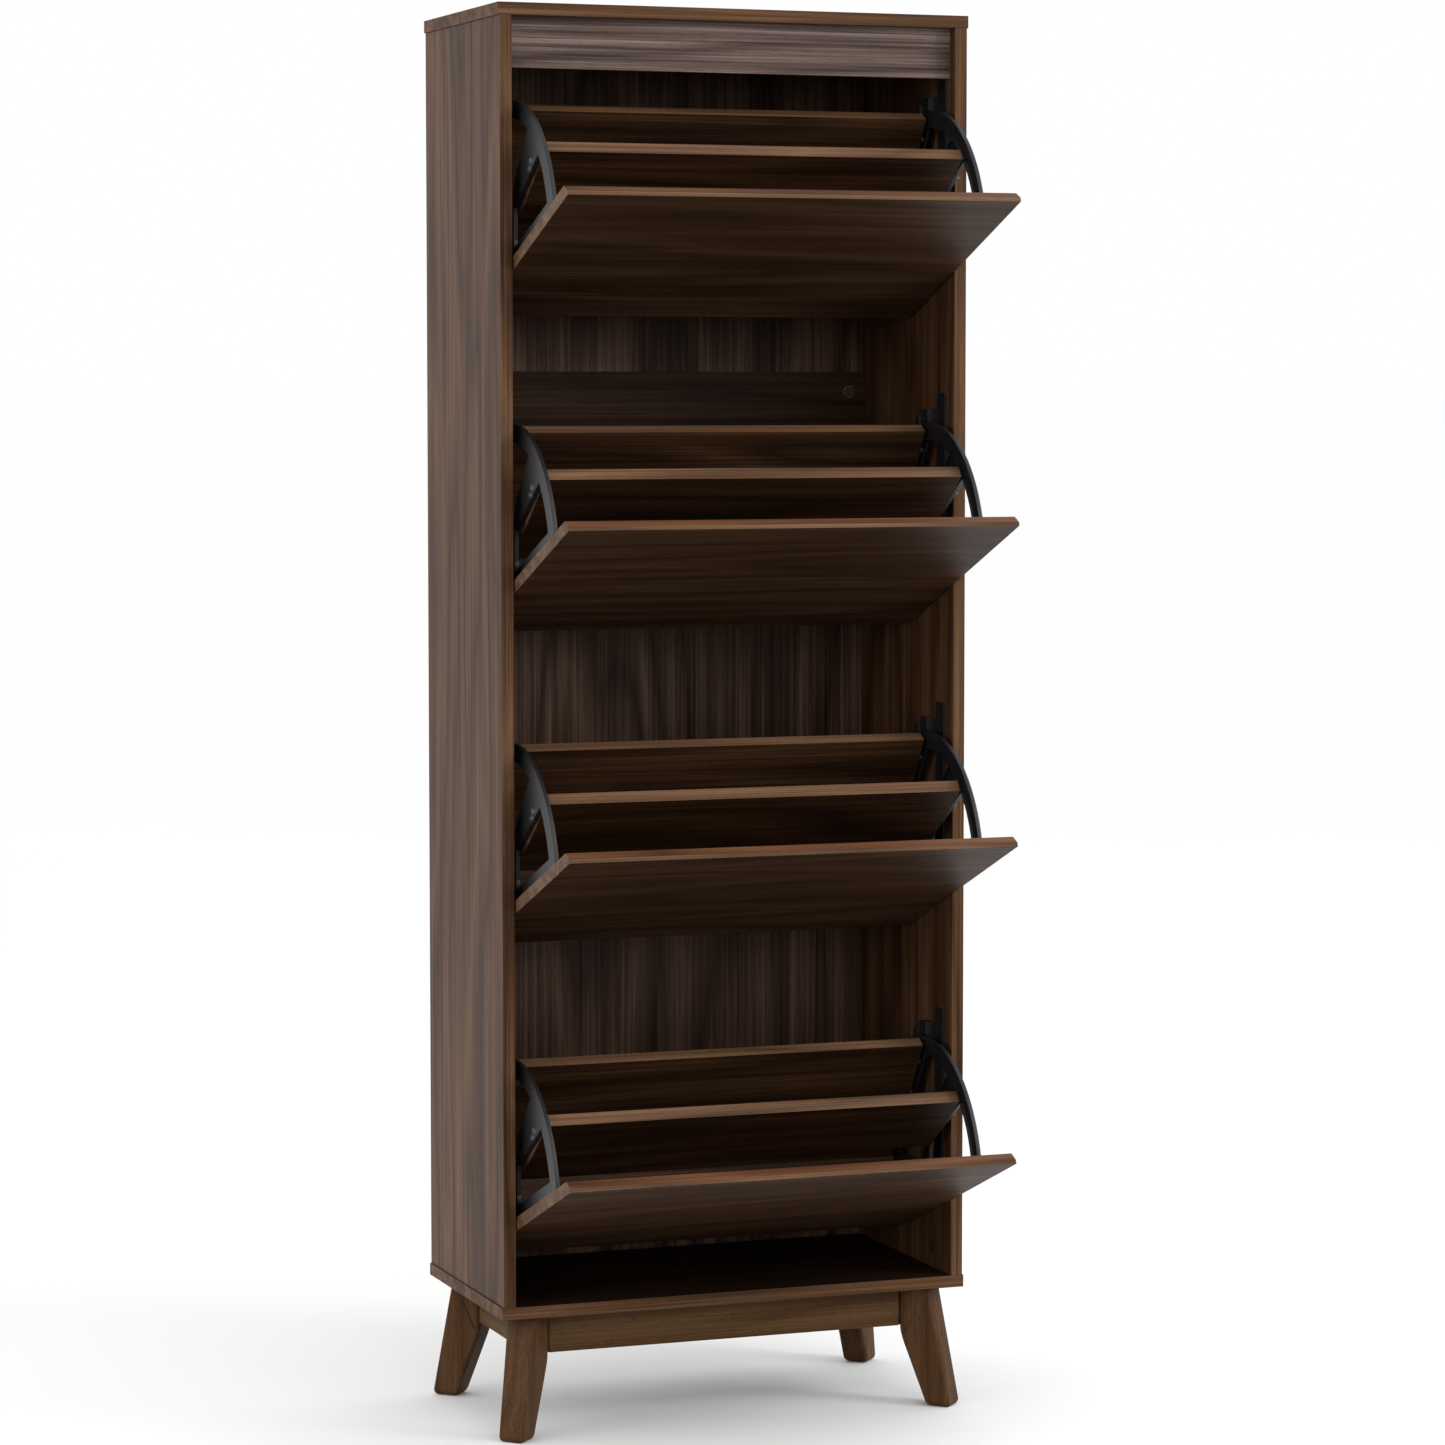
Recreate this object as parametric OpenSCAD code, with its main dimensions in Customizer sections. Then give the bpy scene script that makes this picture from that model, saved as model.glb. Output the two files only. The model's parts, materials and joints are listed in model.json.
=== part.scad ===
// Tall shoe cabinet with tip-out bins on splayed legs. Millimetres, +Z up.
// The front faces -Y. The origin is on the floor, under the middle of the whole
// footprint with every bin tipped open.

/* [Cabinet] */
// Width over the top and bottom panels
cab_w = 600; // [560:1:700]
// Depth of the side panels
side_d = 300; // [290:1:340]
// Height from under the bottom panel to the top of the top panel
body_h = 1565; // [1562:1:1580]
// Thickness of the boards
board = 15; // [15:0.5:16]
// Thickness of the back panel
back_t = 3; // [2.5:0.5:4]
// How far the top and bottom panels stand out past the sides
overhang = 2; // [1:0.5:4]

/* [Fascia and stretcher] */
// Height of the fascia rail under the top panel
fascia_h = 60; // [40:1:80]
// How far the fascia rail sits behind the front edges
fascia_back = 17; // [16.5:0.5:25]
// Height of the rear stretcher
stretcher_h = 100; // [70:1:120]
// Top edge of the rear stretcher above the floor
stretcher_top = 1284; // [1200:1:1300]

/* [Base] */
// Height of the legs
leg_h = 150; // [120:1:180]
// Side of the square leg at its top
leg_top = 38; // [36:1:42]
// Side of the square leg at the floor
leg_foot = 33; // [26:1:34]
// How far each foot splays out along the corner's diagonal
leg_splay = 33; // [20:1:40]
// Leg centre from the cabinet's end, at the top
leg_in_x = 45; // [40:1:60]
// Leg centre from the cabinet's front or back, at the top
leg_in_y = 37.5; // [36:0.5:50]
// Height of the apron rails
apron_h = 51; // [40:1:60]
// Thickness of the apron rails
apron_t = 11; // [9:0.5:11]

/* [Bins] */
// Distance from one bin to the next
bin_pitch = 381.5; // [380:0.5:382]
// Height of each door
door_h = 362; // [350:1:363]
// Gap between the top panel and the first door
door_top_gap = 19; // [18:0.5:20]
// Gap at each end of a door
door_end_gap = 2; // [1.5:0.5:4]
// How far the closed doors sit behind the front edges
door_inset = 1; // [0:0.5:1.5]
// Angle between the closed door and the fully open door
open_angle = 68.6; // [60:0.1:70]
// Pivot behind the door's front face
pivot_back = 44; // [42:1:48]
// Pivot above the door's bottom edge
pivot_up = 114; // [110:1:118]
// Size of the finger bevel along the back of the door's top edge
bevel = 10; // [6:0.5:11]

/* [Bin boards] */
// Top of the bin floor above the door's bottom edge
floor_up = 24; // [22:1:30]
// Lean of the rear board, measured from the door
rear_lean = 36.6; // [34:0.1:38]
// Length of the rear board
rear_len = 182; // [170:1:184]
// Gap between the door and the rear board along the bin floor
bin_depth = 69; // [66:1:72]
// Lean of the middle divider, measured from the door
mid_lean = 16; // [14:0.5:20]
// Length of the middle divider
mid_len = 112; // [100:1:116]
// Front top corner of the middle divider above the pivot
mid_top = 142; // [138:1:143]
// Front top corner of the middle divider behind the pivot
mid_back = 57; // [54:1:60]

/* [Brackets] */
// Outer radius of the fan bracket's arc
arc_r = 169.5; // [168:0.5:170]
// Width of the arc band
arc_band = 21; // [18:1:28]
// Thickness of the bracket over its ribs
bracket_t = 7; // [6:0.5:8]
// Thickness of the bracket's web
web_t = 2.5; // [2:0.5:3]
// Gap between the bracket and the side panel
bracket_gap = 11.5; // [10.5:0.5:12.5]
// Radius of the pivot pin
pin_r = 4; // [3.5:0.5:5]

/* [Hidden] */
$fn = 48;
BINS = [1, 2, 3, 4];
SIDES = ["left", "right"];
BOARD_NODES = ["top_panel", "bottom_panel", "side_left", "side_right", "back_panel", "fascia_rail",
    "rear_stretcher"];
BASE_NODES = ["apron_front", "apron_rear", "apron_left", "apron_right", "leg_front_left",
    "leg_front_right", "leg_rear_left", "leg_rear_right", "corner_plates", "leg_bolts"];
FITTING_NODES = ["cam_locks", "cam_covers", "back_nails", "plate_screws"];
PLATE_NODES = [for (i = BINS) for (s = SIDES) str("pivot_plate_", i, "_", s)];
BIN_PARTS = ["door", "divider", "rear_board", "floor_board", "bracket_left", "bracket_right", "screws"];
BIN_NODES = [for (i = BINS) for (p = BIN_PARTS) str("bin", i, "_", p)];

walnut = [0.36, 0.24, 0.17];
walnut_dark = [0.30, 0.19, 0.13];
edge_wood = [0.55, 0.38, 0.28];
leg_wood = [0.42, 0.27, 0.17];
black_plastic = [0.10, 0.10, 0.11];
zinc = [0.75, 0.76, 0.78];

// body heights and widths
half_w = cab_w / 2;
side_out = half_w - overhang;
side_in = side_out - board;
cab_d = side_d + back_t;
top_z = leg_h + body_h;
in_low = leg_h + board;
in_high = top_z - board;

// door and pivot, closed
door_top_z = in_high - door_top_gap;
door_half = side_in - door_end_gap;
pivot_y = door_inset + pivot_back;
pivot_drop = door_h - pivot_up;
door_in = board - pivot_back;

// the open door's front top corner ahead of the cabinet's front edges
reach = pivot_drop * sin(open_angle) - pivot_back * (1 - cos(open_angle)) - door_inset;
foot_over = (leg_splay + leg_foot) / sqrt(2) - leg_in_y;
front_y = -(cab_d + foot_over - reach) / 2;

// brackets
bracket_out = side_in - bracket_gap;
web_in = bracket_out - web_t;
bin_half = bracket_out - bracket_t;
bore_r = pin_r + 0.05;
hub_r = 15;
rim_t = 3;
rib_t = 2;
door_rail_w = 18;
rib_in = bracket_out - 5;
flange_w = 19;
arc_end = open_angle + 14;

// bin boards in the door's own frame: u runs back from the pivot, v runs up
floor_top = floor_up - pivot_up;
rear_u = door_in + bin_depth;
mid_pos = [mid_back, mid_top];
rear_dir = [sin(rear_lean), cos(rear_lean)];
rear_nrm = [cos(rear_lean), -sin(rear_lean)];
mid_dir = [-sin(mid_lean), -cos(mid_lean)];
mid_nrm = [cos(mid_lean), -sin(mid_lean)];
rear_pos = [rear_u, floor_top];

// screws and dowel-like fittings
screw_r = 1.95;
pilot_r = 2;
head_r = 3.6;
head_t = 1.4;
screw_in = 18;
door_screw_in = 9;
cam_r = 7.4;
cam_hole_r = 7.5;
cam_deep = 12;
cam_cover_r = 7;
cam_cover_t = 0.8;
cam_edge = 24;

rear_screws = [for (s = [30, 100, 150]) rear_pos + s * rear_dir + board / 2 * rear_nrm];
mid_screws = [for (p = [[29, 10], [39, 6.5]]) mid_pos + p[0] * mid_dir + p[1] * mid_nrm];
floor_screws = [for (u = [-12, 26]) [u, floor_top - board / 2]];
end_screws = concat(rear_screws, mid_screws, floor_screws);
door_screws = [-70, 30, 130];

// pivot plate in the open bin's place, measured from the pivot
plate_t = 3;
plate_w = 24;
plate_top = 206;
plate_low = -17;
plate_front = -22;
block_y = 14;
block_w = 20;
block_low = 171;
block_h = 15;
block_t = 10.5;
lug_h = 22;
lug_w = 9;
lug_t = 7.5;
stop_gap = 0.1;
plate_screw_z = [60, 150];
plate_screw_y = -12;

// legs: the bend of the inner edge under the aprons, as a short curve
leg_knee = [-leg_top / 2, leg_h - apron_h - 9];
knee_low = leg_knee + 14 * [leg_splay - leg_foot / 2 + leg_top / 2, -leg_knee[1]] / leg_knee[1];
knee_high = leg_knee + [0, 9];
leg_x = half_w - leg_in_x;
leg_y = cab_d / 2 - leg_in_y;
bolt_r = 3;
bolt_z = leg_h - apron_h / 2;
plate_in = 42;
plate_s = plate_in * sqrt(2) - apron_t;
corner_t = 2;

function pivot_z(i) = door_top_z - pivot_drop - (i - 1) * bin_pitch;

// ---------- helpers ----------

// a board from low corner to high corner, in the cabinet's frame
module slab(lo, hi) {
    translate([0, front_y, 0]) translate(lo) cube(hi - lo);
}

// a cylinder along X between two x values
module rod_x(x0, x1, r, y, z) {
    translate([min(x0, x1), y, z]) rotate([0, 90, 0]) cylinder(h = abs(x1 - x0), r = r);
}

// children are drawn in a closed door's frame at the pivot, then tipped open
module open_bin(i) {
    translate([0, front_y + pivot_y, pivot_z(i)]) rotate([open_angle, 0, 0]) children();
}

// a flat shape given as (u, v) points or children, pushed out along X from x0 to x1
module across(x0, x1) {
    translate([x0, 0, 0]) rotate([90, 0, 90]) linear_extrude(height = x1 - x0) children();
}

module to_side(s) {
    if (s == "left") mirror([1, 0, 0]) children();
    else children();
}

// a strip of width w starting at p, running along dir, thick to the side of nrm
module strip(p, dir, nrm, len, w) {
    polygon([p, p + len * dir, p + len * dir + w * nrm, p + w * nrm]);
}

// ---------- cabinet boards ----------

module top_panel() {
    color(walnut) slab([-half_w, 0, in_high], [half_w, cab_d, top_z]);
}

module bottom_panel() {
    color(walnut) slab([-half_w, 0, leg_h], [half_w, cab_d, in_low]);
}

module side_panel(s) {
    color(walnut) difference() {
        to_side(s) slab([side_in, 0, in_low], [side_out, side_d, in_high]);
        to_side(s) side_holes();
    }
}

// cam pockets near the corners and pilot holes for the pivot plates
module side_holes() {
    for (z = [in_low + cam_edge, in_high - cam_edge])
        for (y = [60, side_d - 60])
            rod_x(side_in - 1, side_in + cam_deep, cam_hole_r, front_y + y, z);
    for (i = BINS)
        for (dz = plate_screw_z)
            rod_x(side_in - 1, side_in + cam_deep, pilot_r,
                front_y + pivot_y + plate_screw_y, pivot_z(i) + dz);
}

module back_panel() {
    color(walnut_dark) slab([-side_out, side_d, in_low], [side_out, cab_d, in_high]);
}

module fascia_rail() {
    color(walnut) difference() {
        slab([-side_in, fascia_back, in_high - fascia_h], [side_in, fascia_back + board, in_high]);
        fascia_cam_places() cylinder(h = cam_deep + 1, r = cam_hole_r);
    }
}

// places on the fascia's rear face, with Z pointing into the board from behind
module fascia_cam_places() {
    for (x = [-1, 1] * (side_in - cam_edge))
        translate([x, front_y + fascia_back + board - cam_deep, in_high - fascia_h / 2])
            rotate([-90, 0, 0]) children();
}

module rear_stretcher() {
    color(walnut) difference() {
        slab([-side_in, side_d - board, stretcher_top - stretcher_h], [side_in, side_d, stretcher_top]);
        stretcher_cam_places() translate([0, 0, -1]) cylinder(h = cam_deep + 1, r = cam_hole_r);
    }
}

// places on the stretcher's front face, with Z pointing into the board
module stretcher_cam_places() {
    for (x = [-1, 1] * (side_in - cam_edge))
        for (z = [stretcher_top - 25, stretcher_top - stretcher_h + 25])
            translate([x, front_y + side_d - board, z]) rotate([-90, 0, 0]) children();
}

// ---------- base ----------

// the four legs' places: x and y signs, y counted from the middle of the depth
module at_corner(sx, sy) {
    translate([0, front_y + cab_d / 2, 0])
        mirror([sx < 0 ? 1 : 0, 0, 0]) mirror([0, sy < 0 ? 1 : 0, 0]) children();
}

// one leg for the +X +Y corner: a tapered square turned 45 degrees, its foot splayed outward
module leg(sx, sy) {
    half = leg_top / 2;
    knee = [for (t = [0 : 0.25 : 1])
        (1 - t) * (1 - t) * knee_low + 2 * t * (1 - t) * leg_knee + t * t * knee_high];
    color(leg_wood) at_corner(sx, sy) translate([leg_x, leg_y, 0]) rotate([0, 0, 45]) difference() {
        intersection() {
            rotate([90, 0, 0]) translate([0, 0, -leg_top]) linear_extrude(height = 2 * leg_top)
                polygon(concat([[-half, leg_h], [half, leg_h], [leg_splay + leg_foot / 2, 0],
                    [leg_splay - leg_foot / 2, 0]], knee));
            rotate([90, 0, 90]) translate([0, 0, -2 * leg_top]) linear_extrude(height = 5 * leg_top)
                polygon([[-half, leg_h], [half, leg_h], [leg_foot / 2, 0], [-leg_foot / 2, 0]]);
        }
        translate([6, 0, bolt_z]) rotate([0, -90, 0]) cylinder(h = leg_top, r = bolt_r + 0.05);
    }
}

// a rail between two legs, its ends mitred against the legs' inner faces
module apron(half) {
    color(walnut) linear_extrude(height = apron_h)
        polygon([[-half, 0], [half, 0], [half + apron_t, apron_t], [-half - apron_t, apron_t]]);
}

module apron_long(sy) {
    translate([0, front_y + cab_d / 2, leg_h - apron_h]) mirror([0, sy < 0 ? 0 : 1, 0])
        translate([0, -leg_y, 0]) apron(leg_x - leg_top / sqrt(2));
}

module apron_short(sx) {
    translate([0, front_y + cab_d / 2, leg_h - apron_h]) mirror([sx < 0 ? 0 : 1, 0, 0])
        translate([-leg_x, 0, 0]) rotate([0, 0, -90]) apron(leg_y - leg_top / sqrt(2));
}

// folded steel plates across the inner corners, with a wing along each apron
module corner_plates() {
    a = -apron_t;
    b = a - corner_t;
    s = plate_s;
    w = s + 16;
    bend = s + corner_t * (sqrt(2) - 1);
    color(zinc) for (sx = [-1, 1]) for (sy = [-1, 1])
        at_corner(sx, sy) translate([leg_x, leg_y, bolt_z]) difference() {
            translate([0, 0, -15]) linear_extrude(height = 30)
                polygon([[-w, a], [-s, a], [a, -s], [a, -w], [b, -w], [b, -bend], [-bend, b], [-w, b]]);
            rotate([0, 0, 45]) rotate([0, -90, 0]) translate([0, 0, plate_in - 5])
                cylinder(h = 12, r = bolt_r + 0.3);
        }
}

// hanger bolts from the corner plates into the legs, with their nuts
module leg_bolts() {
    color(zinc) for (sx = [-1, 1]) for (sy = [-1, 1])
        at_corner(sx, sy) translate([leg_x, leg_y, bolt_z]) rotate([0, 0, 45]) rotate([0, -90, 0]) {
            translate([0, 0, -5]) cylinder(h = plate_in + 17, r = bolt_r);
            translate([0, 0, plate_in + corner_t]) cylinder(h = 5, r = 5.5, $fn = 6);
        }
}

// ---------- fittings ----------

module cam_disc() {
    cylinder(h = cam_deep - 0.5, r = cam_r);
}

module cam_locks() {
    color(zinc) {
        for (s = SIDES)
            to_side(s) for (z = [in_low + cam_edge, in_high - cam_edge])
                for (y = [60, side_d - 60])
                    rod_x(side_in, side_in + cam_deep - 0.5, cam_r, front_y + y, z);
        fascia_cam_places() translate([0, 0, 0.5]) cam_disc();
        stretcher_cam_places() cam_disc();
    }
}

module cam_covers() {
    color(edge_wood) {
        for (s = SIDES)
            to_side(s) for (z = [in_low + cam_edge, in_high - cam_edge])
                for (y = [60, side_d - 60])
                    rod_x(side_in - cam_cover_t, side_in, cam_cover_r, front_y + y, z);
        fascia_cam_places() translate([0, 0, cam_deep]) cylinder(h = cam_cover_t, r = cam_cover_r);
        stretcher_cam_places() translate([0, 0, -cam_cover_t]) cylinder(h = cam_cover_t, r = cam_cover_r);
    }
}

// nail heads round the edge of the back panel
module back_nails() {
    rows = 9;
    edge = board / 2;
    color(zinc) for (k = [0 : rows - 1])
        for (x = [-1, 1] * (side_out - edge))
            translate([x, front_y + cab_d, in_low + 40 + k * (in_high - in_low - 80) / (rows - 1)])
                rotate([-90, 0, 0]) cylinder(h = 0.8, r = 2.5, $fn = 24);
}

module plate_screws() {
    color(zinc) for (s = SIDES) to_side(s) for (i = BINS) for (dz = plate_screw_z) {
        y = front_y + pivot_y + plate_screw_y;
        z = pivot_z(i) + dz;
        rod_x(side_in - plate_t - head_t, side_in - plate_t, head_r, y, z);
        rod_x(side_in - plate_t, side_in + cam_deep - 1, screw_r, y, z);
    }
}

// side fitting: a tall plate with the pivot pin below and a ribbed stop block above
module pivot_plate(i, s) {
    x0 = side_in - plate_t;
    color(black_plastic) to_side(s) translate([0, front_y + pivot_y, pivot_z(i)]) difference() {
        union() {
            translate([x0, plate_front, plate_low]) cube([plate_t, plate_w, plate_top - plate_low]);
            rod_x(x0, side_in, 20, 0, 0);
            rod_x(bracket_out + 1, side_in, 8, 0, 0);
            rod_x(bin_half + 0.5, side_in, pin_r, 0, 0);
            translate([x0, plate_front, block_low]) cube([plate_t, block_y + block_w - plate_front, block_h]);
            for (k = [0 : 3])
                translate([side_in - block_t, block_y + k * (block_w - 2.5) / 3, block_low])
                    cube([block_t, 2.5, block_h]);
            translate([side_in - block_t, block_y, block_low + block_h - 2.5]) cube([block_t, block_w, 2.5]);
        }
        for (dz = plate_screw_z) rod_x(x0 - 1, side_in + 1, pilot_r, plate_screw_y, dz);
    }
}

// ---------- bins ----------

// door: a finger bevel along the back of its top edge
module bin_door(i) {
    v0 = -pivot_up;
    v1 = door_h - pivot_up;
    color(walnut) open_bin(i) difference() {
        across(-door_half, door_half)
            polygon([[-pivot_back, v0], [door_in, v0], [door_in, v1 - bevel], [door_in - bevel, v1],
                [-pivot_back, v1]]);
        for (v = door_screws) for (x = [-1, 1] * flange_x())
            translate([x, door_in - door_screw_in - 1, v]) rotate([-90, 0, 0])
                cylinder(h = door_screw_in + 2, r = pilot_r);
    }
}

function flange_x() = bracket_out - flange_w + 6;

module end_holes(places, r) {
    for (p = places) for (s = [-1, 1])
        rod_x(s * (bin_half - screw_in - 1), s * (bin_half + 1), r, p[0], p[1]);
}

module bin_divider(i) {
    color(walnut) open_bin(i) difference() {
        across(-bin_half, bin_half) strip(mid_pos, mid_dir, mid_nrm, mid_len, board);
        end_holes(mid_screws, pilot_r);
    }
}

module bin_rear_board(i) {
    color(walnut) open_bin(i) difference() {
        across(-bin_half, bin_half) strip(rear_pos, rear_dir, rear_nrm, rear_len, board);
        end_holes(rear_screws, pilot_r);
    }
}

module bin_floor_board(i) {
    low = floor_top - board;
    end_u = rear_u + board * rear_nrm[0];
    foot_v = floor_top + board * rear_nrm[1];
    color(walnut) open_bin(i) difference() {
        across(-bin_half, bin_half)
            polygon([[door_in, low], [end_u, low], [end_u, foot_v], [rear_u, floor_top],
                [door_in, floor_top]]);
        end_holes(floor_screws, pilot_r);
    }
}

// outline of the fan: inside the arc, behind the door, ahead of the fan's rear end
module fan_sector(r) {
    intersection() {
        circle(r = r, $fn = 128);
        polygon([[0, -20], [door_in, -20], [door_in, 2 * r], [2 * r * sin(arc_end), 2 * r * cos(arc_end)]]);
    }
}

module arc_strip(r_out, r_in) {
    difference() {
        fan_sector(r_out);
        circle(r = r_in, $fn = 128);
    }
}

module mid_rail_shape() {
    intersection() {
        circle(r = arc_r - 1, $fn = 128);
        polygon([[62, 153], [54, 131], [34, 30], [-8, 12], [12, -12], [66, 49], [107, 127]]);
    }
}

module rear_rail_shape() {
    strip(rear_pos - 3 * rear_nrm, rear_dir, rear_nrm, rear_len - 14, board + 7);
}

module floor_rail_shape() {
    polygon([[door_in, floor_top - board], [rear_u + 14, floor_top - board], [rear_u + 14, floor_top + 6],
        [door_in, floor_top + 6]]);
}

// the bracket's flat outline, with its open windows
module web_shape() {
    arc_strip(arc_r, arc_r - arc_band);
    translate([door_in, floor_top - board]) square([door_rail_w, 158 - floor_top + board]);
    mid_rail_shape();
    rear_rail_shape();
    floor_rail_shape();
    circle(r = hub_r);
    translate([door_in, -9]) square([-door_in, 18]);
    polygon([[-6, -8], [8, -12], [rear_u + 10, floor_top], [rear_u - 14, floor_top]]);
}

module rib_shape() {
    arc_strip(arc_r, arc_r - rim_t);
    arc_strip(arc_r - arc_band + rib_t, arc_r - arc_band);
    difference() {
        circle(r = hub_r);
        circle(r = hub_r - 5);
    }
    translate([door_in, floor_top - board]) square([rim_t, 158 - floor_top + board]);
    mid_rib_lines();
}

// two ribs along the mid rail
module mid_rib_lines() {
    intersection() {
        circle(r = arc_r - 1, $fn = 128);
        union() {
            polygon([[57, 146], [54, 131], [34, 30], [-6, 12], [-5, 10], [36, 29], [56, 130.5], [59, 146]]);
            polygon([[97, 108], [66, 49], [12, -10], [10, -8], [64, 50], [95, 109]]);
        }
    }
}

// fan bracket: web outside, ribs towards the bin, a flange on the door and a stop lug
module bin_bracket(i, s) {
    color(black_plastic) to_side(s) open_bin(i) difference() {
        union() {
            across(web_in, bracket_out) web_shape();
            across(rib_in, bracket_out) rib_shape();
            across(bin_half, bracket_out) circle(r = 8);
            translate([bracket_out - flange_w, door_in, -85]) cube([flange_w, rim_t, 235]);
            for (p = end_screws) rod_x(bin_half, bracket_out, 5, p[0], p[1]);
            rotate([-open_angle, 0, 0])
                translate([bracket_out - web_t, block_y + block_w + stop_gap, block_low - lug_h / 2 - 4])
                    cube([lug_t + web_t, lug_w, lug_h]);
        }
        rod_x(bin_half - 1, bracket_out + 1, bore_r, 0, 0);
        for (p = end_screws) rod_x(bin_half - 1, bracket_out + 1, screw_r + 0.1, p[0], p[1]);
        for (v = door_screws)
            translate([flange_x(), door_in - 1, v]) rotate([-90, 0, 0]) cylinder(h = 6, r = screw_r + 0.1);
    }
}

module bin_screws(i) {
    color(zinc) open_bin(i) {
        for (p = end_screws) for (s = [-1, 1]) {
            rod_x(s * bracket_out, s * (bracket_out + head_t), head_r, p[0], p[1]);
            rod_x(s * (bin_half - screw_in), s * (bracket_out + 0.5), screw_r, p[0], p[1]);
        }
        for (v = door_screws) for (x = [-1, 1] * flange_x())
            translate([x, door_in - door_screw_in, v]) rotate([-90, 0, 0]) {
                cylinder(h = door_screw_in + rim_t + 0.5, r = screw_r);
                translate([0, 0, door_screw_in + rim_t]) cylinder(h = head_t, r = head_r);
            }
    }
}

// ---------- the model ----------

top_panel();
bottom_panel();
side_panel("left");  // side_left
side_panel("right");  // side_right
back_panel();
fascia_rail();
rear_stretcher();
apron_long(-1);  // apron_front
apron_long(1);  // apron_rear
apron_short(-1);  // apron_left
apron_short(1);  // apron_right
leg(-1, -1);  // leg_front_left
leg(1, -1);  // leg_front_right
leg(-1, 1);  // leg_rear_left
leg(1, 1);  // leg_rear_right
corner_plates();
leg_bolts();
cam_locks();
cam_covers();
back_nails();
plate_screws();
for (i = BINS) {
    pivot_plate(i, "left");
    pivot_plate(i, "right");
    bin_door(i);
    bin_divider(i);
    bin_rear_board(i);
    bin_floor_board(i);
    bin_bracket(i, "left");
    bin_bracket(i, "right");
    bin_screws(i);
}
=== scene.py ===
"""Looks, light and camera for a tall walnut shoe cabinet with four tip-out bins."""

import json
import logging
import math
from collections.abc import Callable, Sequence
from dataclasses import dataclass
from enum import Enum

import bpy
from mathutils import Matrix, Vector

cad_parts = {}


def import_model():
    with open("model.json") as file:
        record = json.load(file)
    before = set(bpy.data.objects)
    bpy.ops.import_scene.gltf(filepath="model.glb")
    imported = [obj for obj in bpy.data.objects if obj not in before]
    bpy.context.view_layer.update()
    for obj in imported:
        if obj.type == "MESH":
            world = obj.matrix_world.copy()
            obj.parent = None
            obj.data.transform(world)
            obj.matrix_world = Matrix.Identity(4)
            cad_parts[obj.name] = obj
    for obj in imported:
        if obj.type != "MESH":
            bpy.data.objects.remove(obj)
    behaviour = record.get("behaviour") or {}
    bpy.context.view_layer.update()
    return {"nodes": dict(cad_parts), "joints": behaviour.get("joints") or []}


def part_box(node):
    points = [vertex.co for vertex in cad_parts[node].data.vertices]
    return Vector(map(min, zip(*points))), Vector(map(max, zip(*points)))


Colour = tuple[float, float, float, float]

MM = 0.001
BIN_NUMBERS = (1, 2, 3, 4)
SIDES = ("left", "right")

# Cosines between a face's normal and a direction: roughly that way, and squarely that way.
FACING = 0.7
FLAT = 0.9
# Strength of the relief on wood, and on plastic or metal.
WOOD_RELIEF = 0.5
PLASTIC_RELIEF = 0.4
# A lacquered laminate reflects little: refraction index and share of the usual specular level.
LACQUER_IOR = 1.46
LACQUER_SPECULAR = 0.12
# How many times the growth rings fold back across the full range of their pattern.
RING_FOLDS = 14.0
# Shares of the streaks in the figure, and of the fibres in the whole.
STREAK_SHARE = 0.74
FIBRE_SHARE = 0.42
# Angle between two faces from which their shared edge is rounded.
SHARP_DEG = 35
# Cells per metre of the broad patches: 1.7 m along the grain and a third of a metre across.
CLOUD_CELLS = (0.6, 3.0, 3.0)
# Cells per metre of the pores: 14 mm long and 1.1 mm wide, drawn coarser than real ones so they show.
PORE_CELLS = (70.0, 900.0, 900.0)

log = logging.getLogger("shoe_cabinet")


class Grain(Enum):
    """The axis that the wood's fibres follow."""

    ACROSS = "x"
    DEEP = "y"
    UPRIGHT = "z"


def srgb(code: str) -> Colour:
    """Converts an sRGB hex colour to the linear colour that shaders read.

    Args:
        code: Six hex digits, with or without a leading hash sign.

    Returns:
        Linear red, green and blue, with an alpha of 1.
    """
    digits = code.lstrip("#")
    values = [int(digits[k : k + 2], 16) / 255 for k in (0, 2, 4)]
    linear = [v / 12.92 if v <= 0.04045 else ((v + 0.055) / 1.055) ** 2.4 for v in values]
    return (linear[0], linear[1], linear[2], 1.0)


def add_node(
    tree: bpy.types.NodeTree,
    kind: str,
    settings: dict[str, object] | None = None,
    inputs: dict[str | int, object] | None = None,
) -> bpy.types.Node:
    """Adds one shader node with its settings and its inputs.

    Args:
        tree: The node tree that gets the node.
        kind: The node's Blender type name.
        settings: Attributes of the node, such as its mode.
        inputs: Values for the node's inputs, by name or place. A socket links, anything else is set.

    Returns:
        The new node.
    """
    made = tree.nodes.new(kind)
    for name, value in (settings or {}).items():
        setattr(made, name, value)
    for key, value in (inputs or {}).items():
        if isinstance(value, bpy.types.NodeSocket):
            tree.links.new(value, made.inputs[key])
        else:
            made.inputs[key].default_value = value
    return made


def set_stops(ramp: bpy.types.Node, stops: list[tuple[float, Colour]]) -> None:
    """Gives a colour ramp its stops.

    Args:
        ramp: A ColorRamp node.
        stops: Pairs of place and colour, in rising order.
    """
    elements = ramp.color_ramp.elements
    while len(elements) > 2:
        elements.remove(elements[-1])
    for place, (where, colour) in enumerate(stops):
        element = elements[place] if place < 2 else elements.new(where)
        element.position = where
        element.color = colour


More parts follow.
